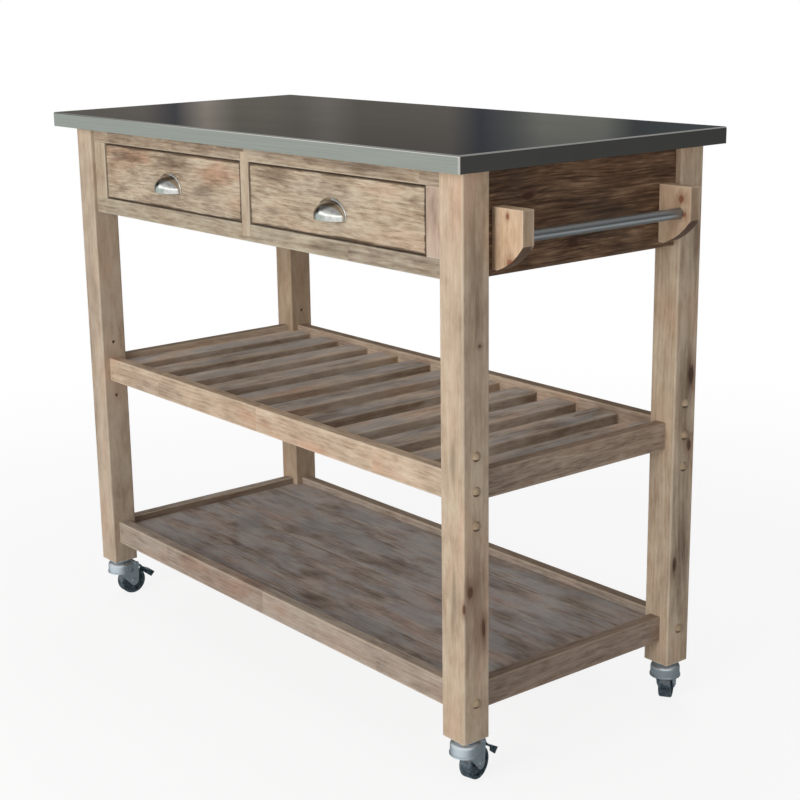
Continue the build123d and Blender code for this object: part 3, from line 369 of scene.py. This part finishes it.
# Each board's grain axis, palette and seed, and how it differs from plain timber.
BOARDS = {
    "leg_front_left": ("Z", "leg", 1.0, {
        "figure": SOFT,
        "tint": rgb(240, 247, 255),
        "patches": [((0.0, -0.02, 0.0), (0.05, 0.012, 0.03)), ((-0.13, -0.02, 0.0), (0.04, 0.01, 0.03))],
    }),
    "leg_front_right": ("Z", "leg", 2.0, {
        "figure": SOFT,
        "tint": rgb(244, 249, 253),
        "knots": [
            ((-0.178, 0.024, -0.011), (0.011, 0.006, 0.0055)),
            ((-0.2, 0.024, -0.024), (0.008, 0.003, 0.003)),
            ((-0.236, 0.024, 0.012), (0.016, 0.005, 0.0035)),
            ((0.17, 0.024, 0.006), (0.003, 0.003, 0.003)),
        ],
        "heart": SMOKED_HEART,
        "patches": [
            ((-0.19, 0.022, 0.0), (0.11, 0.006, 0.02)),
            ((-0.24, 0.022, 0.01), (0.05, 0.006, 0.012)),
            ((0.01, 0.0, -0.022), (0.035, 0.009, 0.006)),
            ((-0.2, 0.006, -0.022), (0.04, 0.012, 0.006)),
            ((0.26, 0.022, 0.0), (0.1, 0.006, 0.016)),
        ],
        "wash": 0.2,
    }),
    # Painted shade on this leg's faces across X.
    "leg_back_left": ("Z", "leg", 3.0, {"figure": SOFT, "tint": rgb(232, 232, 230), "side_shade": (0, 0.25)}),
    "leg_back_right": ("Z", "leg", 4.0, {
        "figure": STREAKED,
        "tint": rgb(252, 258, 262),
        # painted shade on this leg's faces across X
        "side_shade": (0, 0.08),
        "knots": [
            ((0.06, 0.024, 0.012), (0.02, 0.006, 0.006)),
            ((-0.05, 0.024, 0.012), (0.012, 0.006, 0.005)),
            ((-0.238, 0.024, -0.014), (0.014, 0.006, 0.0055)),
        ],
        "patches": [
            ((0.04, 0.022, 0.0), (0.1, 0.006, 0.02)),
            # This patch is a painted shadow of the towel bracket on the leg's right face.
            ((0.27, 0.022, 0.012), (0.06, 0.01, 0.012)),
            ((-0.2, 0.022, 0.004), (0.12, 0.006, 0.014)),
        ],
    }),
    "face_rail_top": ("X", "rail", 5.0, {
        "wear": 0.3,
        "blocks": 0.21,
        "tint": rgb(232, 240, 246),
        "patches": [((0.29, -0.01, 0.0), (0.09, 0.01, 0.01))],
    }),
    "face_rail_bottom": ("X", "rail", 6.0, {
        "wear": 0.3,
        "blocks": 0.26,
        "tint": rgb(230, 240, 245),
        "patches": [((0.22, -0.01, 0.0), (0.05, 0.01, 0.012))],
    }),
    "face_stile_left": ("Z", "leg", 7.0, {"figure": SOFT, "wear": 0.35, "tint": rgb(236, 244, 250)}),
    "face_stile_right": ("Z", "leg", 8.0, {"figure": SOFT, "wear": 0.35, "tint": rgb(234, 236, 248)}),
    "face_stile_center": ("Z", "leg", 9.0, {"figure": SOFT, "wear": 0.3, "tint": rgb(236, 244, 250)}),
    "drawer_left_front": ("X", "drawer", 10.0, {
        "wear": 0.0,
        # The rim is dark stain with the painted shade of the gap round the drawer.
        "rim": 0.75,
        "stain": 0.75,
        "figure": DASHED,
        "tint": rgb(240, 248, 252),
        "patches": [
            ((0.1, -0.009, -0.01), (0.03, 0.01, 0.012)),
            ((0.02, -0.009, 0.032), (0.06, 0.01, 0.014)),
            ((-0.14, -0.009, 0.03), (0.05, 0.01, 0.01)),
        ],
    }),
    "drawer_right_front": ("X", "drawer", 11.0, {
        "wear": 0.0,
        # The rim is dark stain with the painted shade of the gap round the drawer.
        "rim": 0.75,
        "figure": DASHED,
        "tint": rgb(240, 248, 252),
        "patches": [
            ((-0.15, -0.009, 0.034), (0.05, 0.01, 0.012)),
            ((-0.15, -0.009, -0.02), (0.03, 0.01, 0.006)),
        ],
    }),
    "apron_left": ("Y", "apron", 12.0, {"figure": ROUGH_SAWN}),
    "apron_right": ("Y", "apron", 13.0, {
        "figure": ROUGH_SAWN,
        "tint": rgb(250, 241, 230),
        "wear": 0.1,
        "wash": 0.1,
        "length": 1.8,
        "knots": [((-0.108, 0.01, 0.028), (0.013, 0.01, 0.008)), ((-0.022, 0.01, -0.045), (0.014, 0.01, 0.007))],
    }),
    "apron_back": ("X", "apron", 14.0, {"figure": ROUGH_SAWN}),
    "towel_bracket_front": ("Z", "bracket", 15.0, {
        "figure": SOFT,
        "stain": 0.6,
        # Painted shade on the end faces across X and on the underside.
        "side_shade": (0, 0.4),
        "underside_shade": 0.8,
        "heart": RED_HEART,
        "knots": [((-0.03, 0.006, -0.01), (0.007, 0.007, 0.006)), ((0.032, 0.0, -0.01), (0.004, 0.003, 0.006))],
    }),
    "towel_bracket_back": ("Z", "bracket", 16.0, {
        "figure": SOFT,
        "stain": 0.6,
        # Painted shade on the end faces across X and on the underside.
        "side_shade": (0, 0.4),
        "underside_shade": 0.8,
        "heart": RED_HEART,
        "knots": [((0.024, 0.012, -0.01), (0.006, 0.006, 0.006)), ((0.002, 0.018, -0.01), (0.005, 0.005, 0.006))],
    }),
    "mid_rail_front": ("X", "rail", 17.0, {
        "blocks": 0.3,
        "figure": STREAKED,
        "stain": 0.7,
        "tint": rgb(261, 264, 268),
    }),
    # Painted shade on this rail's top and bottom faces.
    "mid_rail_back": ("X", "mid", 18.0, {"blocks": 0.3, "figure": STREAKED, "stain": 0.7, "side_shade": (2, 0.6)}),
    # Painted shade on this rail's top and bottom faces.
    "mid_rail_left": ("Y", "mid", 19.0, {"figure": PATCHY, "side_shade": (2, 0.45)}),
    "mid_rail_right": ("Y", "mid", 20.0, {"figure": DASHED, "tint": rgb(228, 225, 222)}),
    "low_rail_front": ("X", "low", 21.0, {"blocks": 0.3, "figure": STREAKED, "stain": 0.7}),
    # Painted shade on this rail's top and bottom faces.
    "low_rail_back": ("X", "low", 22.0, {"blocks": 0.3, "side_shade": (2, 0.55)}),
    # Painted shade on this rail's faces across X, including its inner face by the planks.
    "low_rail_left": ("Y", "low", 23.0, {"side_shade": (0, 0.6)}),
    "low_rail_right": ("Y", "low", 24.0, {"figure": DASHED, "stain": 0.6, "tint": rgb(228, 220, 213)}),
    "drawer_left_back": ("X", "inner", 25.0, {"relief": 0.4, "wash": 0.0}),
    "drawer_right_back": ("X", "inner", 26.0, {"relief": 0.4, "wash": 0.0}),
    "drawer_left_bottom": ("X", "inner", 27.0, {"relief": 0.3, "wash": 0.0}),
    "drawer_right_bottom": ("X", "inner", 28.0, {"relief": 0.3, "wash": 0.0}),
}
for node, (grain, palette, seed, extra) in BOARDS.items():
    dress(node, wood(node + "_wood", grain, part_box(node), palette, seed, **extra))

slat_low, slat_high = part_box("mid_shelf_slats")
SLAT_COUNT = 11
SLAT_WIDTH = 0.05
slat_pitch = (slat_high.x - slat_low.x - SLAT_WIDTH) / (SLAT_COUNT - 1)
slat_cell = (0, slat_pitch, SLAT_WIDTH, 0.0)
# The slats' tops carry a painted blue-grey sheen of sky light, and their sides carry painted shade.
slats_wood = wood("slats_wood", "Y", (slat_low, slat_high), "slat", 31.0, cell=slat_cell, wear=0.4,
                  figure=PATCHY, sky_sheen=0.48, side_shade=(0, 0.55), stain=0.8)
dress("mid_shelf_slats", slats_wood)
plank_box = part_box("low_shelf_planks")
PLANK_WIDTH = 0.139
plank_cell = (1, PLANK_WIDTH, PLANK_WIDTH, PLANK_WIDTH / 2)
# The planks' tops carry a painted blue-grey sheen of sky light.
planks_wood = wood("planks_wood", "X", plank_box, "plank", 32.0, cell=plank_cell, wear=0.18,
                   figure=PATCHY, sky_sheen=0.5, stain=0.6, wash=0.6, tint=rgb(250, 247, 244))
dress("low_shelf_planks", planks_wood)
INNER_ROWS = ["drawer_left_sides", "drawer_right_sides", "drawer_runners", "drawer_kickers", "shelf_cleats"]
FIRST_ROW_SEED = 33.0
for number, node in enumerate(INNER_ROWS):
    low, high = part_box(node)
    pitch = (high.x - low.x) / 2
    row_cell = (0, pitch, pitch, 0.0)
    seed = FIRST_ROW_SEED + number
    row = wood(node + "_wood", "Y", (low, high), "inner", seed, cell=row_cell, wear=0.1, wash=0.1)
    dress(node, row)
dress("worktop_core", wood("core_board", "X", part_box("worktop_core"), "inner", 40.0, wear=0.0, relief=0.3))
# The plugs' lower sides get a crescent of painted shade.
plug_wood = wood("plug_wood", "X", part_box("leg_plugs"), "rail", 41.0, wear=0.0, figure=SOFT,
                 tint=rgb(226, 229, 226), underside_shade=0.8)
dress("leg_plugs", plug_wood)


# ---------------------------------------------------------------- metals
BRUSH_SCALE = (6.0, 900.0, 900.0)
SMUDGE_SCALE = (7.0, 11.0, 11.0)
WAVE_SCALE = (2.2, 3.0, 3.0)
BRUSH_DEPTH = 0.00003
WAVE_DEPTH = 0.0006
FLANGE_DEPTH = 0.0015
FLANGE_START = -0.0006
FLANGE_END = 0.0002
FLANGE_ROLL = 0.9
PLATING_CLOUD = 90.0
RUBBER_CLOUD = 160.0
# A dark reflection painted on each pull's dome, and the band where it shows.
PAINTED_DARK_REFLECTION = rgb(84, 80, 76)
DARK_REFLECTION_START = (0.18, 0.42)
DARK_REFLECTION_END = (0.8, 0.55, 0.45, 1.0)


def brushed_steel(name):
    """Sheet steel with a fine brushed grain along X, faint smudges and a slight wave in the sheet."""
    tree = Tree(bpy.data.materials.new(name))
    place = tree.add("ShaderNodeTexCoord").outputs["Object"]
    brush = tree.noise(place, BRUSH_SCALE, 3.0, 0.6)
    smudge = tree.noise(place, SMUDGE_SCALE, 3.0, 0.55)
    wave = tree.noise(place, WAVE_SCALE, 1.0, 0.5)
    color = tree.ramp(brush, [(0.3, rgb(190, 189, 183)), (0.7, rgb(202, 201, 195))])
    rough = tree.math("ADD", tree.span(smudge, 0.35, 0.65, 0.07, 0.1), tree.share(brush, 0.03))
    dents = tree.bump(wave, WAVE_DEPTH, 0.5)
    scratches = {"Height": brush, "Distance": BRUSH_DEPTH, "Strength": 0.5, "Normal": dents}
    brushed = tree.add("ShaderNodeBump", scratches).outputs[0]
    tree.finish({"Base Color": color, "Metallic": 1.0, "Roughness": rough, "Normal": brushed})
    return bpy.data.materials[name]


def plated(name, dark, light, rough_low, rough_high, scale=PLATING_CLOUD, wobble=0.0002):
    """Plated metal with a clouded finish. Scale is of the clouds, and wobble is their depth."""
    tree = Tree(bpy.data.materials.new(name))
    place = tree.add("ShaderNodeTexCoord").outputs["Object"]
    cloud = tree.noise(place, (scale, scale, scale), 3.0, 0.6)
    color = tree.ramp(cloud, [(0.42, dark), (0.58, light)])
    rough = tree.span(cloud, 0.3, 0.7, rough_low, rough_high)
    clouded = tree.bump(cloud, wobble, 0.4)
    tree.finish({"Base Color": color, "Metallic": 1.0, "Roughness": rough, "Normal": clouded})
    return bpy.data.materials[name]


def rolled_nickel(name, node):
    """Bright plating for a cup pull, with a painted dark reflection where it turns up and to the left.

    Its flange is rolled over, so it shines as a rounded rim does."""
    low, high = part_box(node)
    middle = ((low.x + high.x) / 2, 0.0, low.z)
    tree = Tree(bpy.data.materials.new(name))
    place = tree.add("ShaderNodeTexCoord").outputs["Object"]
    cloud = tree.noise(place, (PLATING_CLOUD, PLATING_CLOUD, PLATING_CLOUD), 3.0, 0.6)
    x, y, z = tree.split(tree.vector("SUBTRACT", place, middle))[:3]
    flange_front = high.y - FLANGE_DEPTH
    flange = tree.span(y, flange_front + FLANGE_START, flange_front + FLANGE_END)
    outward = tree.scaled(tree.vector("NORMALIZE", tree.join(x, 0.0, z)), tree.share(flange, FLANGE_ROLL))
    facing = tree.add("ShaderNodeNewGeometry").outputs["Normal"]
    rolled = tree.vector("NORMALIZE", tree.vector("ADD", facing, outward))
    plating = tree.ramp(cloud, [(0.35, rgb(206, 206, 202)), (0.65, rgb(228, 228, 224))])
    # Painted reflection: a dark band, as of the wood round it mirrored in the dome, painted into the colour where the
    # dome turns up and to the left.
    tilt = tree.split(facing)
    turned = tree.math("SUBTRACT", tree.share(tilt[2], 0.75), tree.share(tilt[0], 0.75))
    dark_reflection = tree.math("MULTIPLY", tree.span(turned, *DARK_REFLECTION_START), tree.span(turned, *DARK_REFLECTION_END))
    color = tree.mix(tree.share(dark_reflection, 0.85), plating, PAINTED_DARK_REFLECTION)
    rough = tree.span(cloud, 0.3, 0.7, 0.08, 0.14)
    tree.finish({"Base Color": color, "Metallic": 1.0, "Roughness": rough, "Normal": rolled})
    return bpy.data.materials[name]


def rubber(name):
    """The dark moulded wheel."""
    tree = Tree(bpy.data.materials.new(name))
    place = tree.add("ShaderNodeTexCoord").outputs["Object"]
    cloud = tree.noise(place, (RUBBER_CLOUD, RUBBER_CLOUD, RUBBER_CLOUD), 3.0, 0.6)
    color = tree.ramp(cloud, [(0.35, rgb(34, 45, 54)), (0.7, rgb(86, 102, 112))])
    rough = tree.span(cloud, 0.3, 0.7, 0.14, 0.3)
    moulded = tree.bump(cloud, 0.0015, 0.5)
    tree.finish({"Base Color": color, "Roughness": rough, "Specular IOR Level": 0.9, "Normal": moulded})
    return bpy.data.materials[name]


dress("worktop_pan", brushed_steel("pan_steel"))
rod_steel = plated("rod_steel", rgb(88, 90, 88), rgb(106, 108, 106), 0.08, 0.13)
zinc = plated("zinc_plate", rgb(84, 122, 138), rgb(210, 226, 232), 0.05, 0.12, 120.0, 0.003)
brake_steel = plated("brake_steel", rgb(58, 70, 78), rgb(124, 140, 148), 0.12, 0.22, 120.0, 0.0015)
screw_steel = plated("screw_steel", rgb(150, 150, 146), rgb(190, 190, 186), 0.25, 0.4)
wheel_black = rubber("wheel_black")
for node in nodes:
    if node.endswith("_pull"):
        dress(node, rolled_nickel(node + "_nickel", node))
    elif node.endswith("_brake"):
        dress(node, brake_steel)
    elif node.endswith("_fork") or node in ("caster_stems", "caster_sockets"):
        dress(node, zinc)
    elif node.endswith("_screws") or node == "shelf_bolts":
        dress(node, screw_steel)
    elif node.endswith("_wheel"):
        dress(node, wheel_black)
dress("towel_rod", rod_steel)


# ---------------------------------------------------------------- studio
FLOOR_HALF = 9.0
FLOOR_DROP = 0.0005
ROOM_RADIUS = 8.0
ROOM_HEIGHT = 8.0
ROOM_SINK = 0.01
SKY_STRENGTH = 0.22
CEILING = 0.42
# Heights between which the stripes give way to the upper wall, that to the window, and that to the ceiling.
STRIPES_TOP = (1.2, 2.6)
WALL_TOP = (3.1, 5.0)
WINDOW_TOP = (6.0, 7.8)
# Distances from the cart between which the floor changes, and its glow for the camera near the cart.
GLOW_REACH = (0.7, 2.4)
NEAR_REACH = (1.0, 2.4)
FAR_REACH = (3.2, 5.6)
NEAR_GLOW = 0.86
UNDERFOOT_EDGE = (-0.22, -0.4)
UNDER_CART = (0.16, 0.19, 0.2, 1)
BEFORE_CART = (1.1, 1.15, 1.18, 1)


def grey(value):
    return (value, value, value, 1)


# The light that comes from each direction round the cart, in degrees from +X.
ROOM_STRIPES = [
    (-180, grey(0.10)),
    (-160, (0.53, 0.59, 0.57, 1)),
    (-120, (0.60, 0.66, 0.63, 1)),
    (-100, grey(0.9)),
    (-10, grey(0.9)),
    (15, grey(0.09)),
    (60, grey(0.07)),
    (120, (0.088, 0.093, 0.09, 1)),
    (126.5, (0.076, 0.085, 0.088, 1)),
    (130.3, (0.056, 0.062, 0.066, 1)),
    (130.8, (0.20, 0.205, 0.18, 1)),
    (134.6, (0.20, 0.205, 0.18, 1)),
    (135.2, (0.056, 0.06, 0.072, 1)),
    (137.4, (0.046, 0.050, 0.066, 1)),
    (137.8, (0.142, 0.13, 0.114, 1)),
    (142.8, (0.13, 0.118, 0.104, 1)),
    (143.4, (0.19, 0.172, 0.158, 1)),
    (144.0, (0.132, 0.12, 0.114, 1)),
    (146.0, (0.16, 0.15, 0.131, 1)),
    (148.5, (0.15, 0.142, 0.124, 1)),
    (148.9, (0.40, 0.35, 0.30, 1)),
    (149.3, (0.16, 0.152, 0.14, 1)),
    (150.0, (0.14, 0.144, 0.132, 1)),
    (150.35, (0.06, 0.064, 0.075, 1)),
    (151.0, (0.08, 0.08, 0.088, 1)),
    (151.5, (0.15, 0.136, 0.122, 1)),
    (158, (0.138, 0.128, 0.114, 1)),
    (170, (0.14, 0.13, 0.12, 1)),
    (180, grey(0.10)),
]
ROOM_UPPER = [
    (-180, grey(0.05)),
    (-156, grey(0.06)),
    (-146, grey(1.5)),
    (-10, grey(1.5)),
    (15, grey(0.05)),
    (110, (0.032, 0.034, 0.037, 1)),
    (137.5, (0.032, 0.034, 0.04, 1)),
    (150, (0.03, 0.03, 0.028, 1)),
    (180, grey(0.04)),
]
ROOM_WINDOW = [
    (-180, grey(CEILING)),
    (-140, grey(CEILING)),
    (-128, grey(0.66)),
    (-62, grey(0.66)),
    (-48, grey(CEILING)),
]


def surroundings(tree, place):
    """What metal sees round the cart: a pale wall in front of it on the left, a dim room elsewhere."""
    x, y, z = tree.split(place)[:3]
    turn = tree.share(tree.math("ARCTAN2", y, x), 180 / math.pi)
    compass = tree.math("DIVIDE", tree.math("ADD", turn, 180.0), 360.0)
    stripes, upper, window = (
        tree.ramp(compass, [((at + 180) / 360, color) for at, color in table])
        for table in (ROOM_STRIPES, ROOM_UPPER, ROOM_WINDOW)
    )
    walls = tree.mix(tree.span(z, *STRIPES_TOP), stripes, upper)
    high = tree.mix(tree.span(z, *WINDOW_TOP), window, grey(CEILING))
    return tree.mix(tree.span(z, *WALL_TOP), walls, high)


def room():
    """The room's wall, which only metal sees."""
    tree = Tree(bpy.data.materials.new("room_dim"))
    place = tree.add("ShaderNodeNewGeometry").outputs["Position"]
    glow = tree.add("ShaderNodeEmission", {"Color": surroundings(tree, place)})
    output = tree.add("ShaderNodeOutputMaterial")
    tree.links.new(glow.outputs[0], output.inputs[0])
    bpy.ops.mesh.primitive_cylinder_add(
        vertices=128, radius=ROOM_RADIUS, depth=ROOM_HEIGHT, location=(0, 0, ROOM_HEIGHT / 2 - ROOM_SINK)
    )
    shell = bpy.context.object
    shell.name = "room"
    shell.data.materials.append(bpy.data.materials["room_dim"])
    for ray in ("camera", "diffuse", "transmission", "volume_scatter", "shadow"):
        setattr(shell, "visible_" + ray, False)


def floor_sheet():
    """A pale floor that fades to plain white away from the cart. It keeps a faint shadow near it."""
    tree = Tree(bpy.data.materials.new("floor_white"))
    place = tree.add("ShaderNodeNewGeometry").outputs["Position"]
    x, y, _ = tree.split(place)[:3]
    reach = tree.math("SQRT", tree.math("ADD", tree.math("MULTIPLY", x, x), tree.math("MULTIPLY", y, y)))
    rays = tree.add("ShaderNodeLightPath").outputs
    white = tree.add("ShaderNodeEmission", {"Color": grey(1.0), "Strength": 1.0})
    seen_far = surroundings(tree, place)
    underfoot = tree.mix(tree.span(y, *UNDERFOOT_EDGE), UNDER_CART, BEFORE_CART)
    near = tree.mix(tree.span(reach, *NEAR_REACH), underfoot, grey(0.92))
    mirrored = tree.mix(tree.span(reach, *FAR_REACH), near, seen_far)
    metal_view = tree.add("ShaderNodeEmission", {"Color": mirrored})
    matte = tree.add("ShaderNodeBsdfDiffuse", {"Color": grey(0.9)})
    glow = tree.span(reach, *GLOW_REACH, NEAR_GLOW, 1.0)
    for_camera = tree.add("ShaderNodeMixShader", {0: glow, 1: matte.outputs[0], 2: white.outputs[0]})
    lit = tree.add("ShaderNodeMixShader", {0: rays["Is Camera Ray"], 1: matte.outputs[0], 2: for_camera.outputs[0]})
    both = tree.add("ShaderNodeMixShader", {0: rays["Is Glossy Ray"], 1: lit.outputs[0], 2: metal_view.outputs[0]})
    output = tree.add("ShaderNodeOutputMaterial")
    tree.links.new(both.outputs[0], output.inputs[0])
    bpy.ops.mesh.primitive_plane_add(size=2 * FLOOR_HALF, location=(0, 0, -FLOOR_DROP))
    floor = bpy.context.object
    floor.name = "floor"
    floor.data.materials.append(bpy.data.materials["floor_white"])


def studio_world():
    """Soft light from all round, white for the camera and as dim as the ceiling for metal."""
    world = bpy.data.worlds.new("studio")
    bpy.context.scene.world = world
    tree = Tree(world)
    rays = tree.add("ShaderNodeLightPath").outputs
    ambient = tree.add("ShaderNodeBackground", {"Color": (0.97, 0.98, 1.0, 1), "Strength": SKY_STRENGTH})
    backdrop = tree.add("ShaderNodeBackground", {"Color": (1, 1, 1, 1), "Strength": 1.0})
    dim = tree.add("ShaderNodeBackground", {"Color": grey(CEILING), "Strength": 1.0})
    plain = tree.add("ShaderNodeMixShader", {0: rays["Is Camera Ray"], 1: ambient.outputs[0], 2: backdrop.outputs[0]})
    mixed = tree.add("ShaderNodeMixShader", {0: rays["Is Glossy Ray"], 1: plain.outputs[0], 2: dim.outputs[0]})
    output = tree.add("ShaderNodeOutputWorld")
    tree.links.new(mixed.outputs[0], output.inputs[0])


# Each light's place, its width, its power in watts and its colour.
LIGHTS = {
    "key": ((0.9, -4.4, 1.7), 2.6, 150, (1.0, 0.985, 0.96)),
    "side": ((4.6, 0.6, 1.8), 2.6, 26, (0.98, 0.985, 1.0)),
    "top": ((-0.4, 0.2, 4.2), 2.4, 30, (1, 1, 1)),
    "back": ((-3.4, 3.6, 1.5), 3.0, 70, (0.98, 0.99, 1.0)),
}
LIGHT_AIM = (0, 0, 0.5)


def area_light(name, place, width, power, color):
    """A soft square light that only wood, rubber and the floor's shadow show."""
    lamp = bpy.data.lights.new(name, "AREA")
    lamp.shape = "SQUARE"
    lamp.size = width
    lamp.energy = power
    lamp.color = color
    light = bpy.data.objects.new(name, lamp)
    bpy.context.scene.collection.objects.link(light)
    light.location = place
    light.rotation_euler = (Vector(LIGHT_AIM) - Vector(place)).to_track_quat("-Z", "Y").to_euler()
    light.visible_glossy = False
    light.visible_camera = False


studio_world()
floor_sheet()
room()
for name, settings in LIGHTS.items():
    area_light(name, *settings)

# ---------------------------------------------------------------- camera
CAMERA_PLACE = (2.1047, -1.6446, 1.1343)
CAMERA_HEADING = math.radians(142.62)
CAMERA_PITCH = math.radians(-14.484)
CAMERA_ROLL = math.radians(-1.245)
LENS = 73.48
SENSOR = 36.0
SHIFT = (0.0658, -0.0025)
camera = bpy.data.objects.new("camera", bpy.data.cameras.new("camera"))
bpy.context.scene.collection.objects.link(camera)
bpy.context.scene.camera = camera
ahead = Vector((
    math.cos(CAMERA_PITCH) * math.cos(CAMERA_HEADING),
    math.cos(CAMERA_PITCH) * math.sin(CAMERA_HEADING),
    math.sin(CAMERA_PITCH),
))
upright = ahead.to_track_quat("-Z", "Y").to_matrix().to_4x4()
camera.matrix_world = Matrix.Translation(CAMERA_PLACE) @ upright @ Matrix.Rotation(CAMERA_ROLL, 4, "Z")
camera.data.sensor_width = SENSOR
camera.data.lens = LENS
camera.data.shift_x, camera.data.shift_y = SHIFT
bpy.context.scene.view_settings.view_transform = "Standard"
